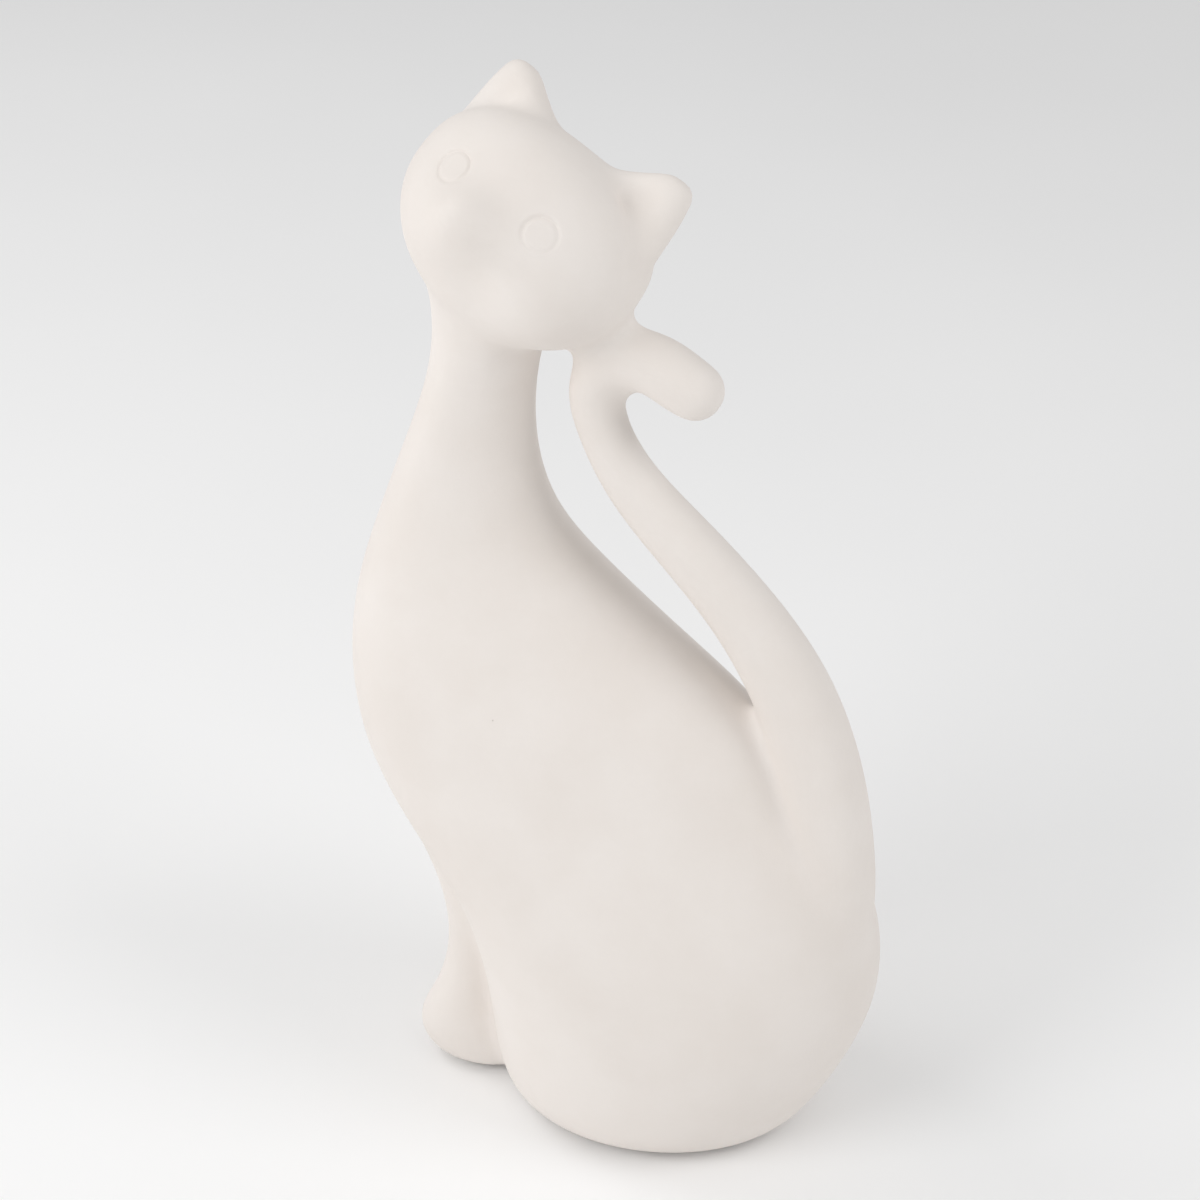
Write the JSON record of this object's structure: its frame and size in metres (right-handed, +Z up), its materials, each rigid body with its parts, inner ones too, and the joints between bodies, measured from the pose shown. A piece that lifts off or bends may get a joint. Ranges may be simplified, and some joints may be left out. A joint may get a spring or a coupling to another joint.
{
  "type": "cat figurine",
  "caption": "Seated cat figurine in matte white bisque, head turned and looking up over its shoulder, its tail rising to touch the head; stands on felt pads.",
  "frame": {"origin": "on the surface that the figurine stands on, under the middle of its box", "axes": "+X the way the chest faces, +Y the cat's left, +Z up"},
  "size_m": [0.0975, 0.0604, 0.188],
  "materials": {
    "bisque": "matte",
    "luting_slip": "matte",
    "felt": "matte"
  },
  "bodies": {
    "root": {"body_casting": "bisque", "head_casting": "bisque", "tail_casting": "bisque", "neck_luting_slip": "luting_slip", "tail_root_luting_slip": "luting_slip", "tail_tip_luting_slip": "luting_slip", "felt_pad_paw_left": "felt", "felt_pad_paw_right": "felt", "felt_pad_rear_left": "felt", "felt_pad_rear_right": "felt"}
  },
  "joints": []
}
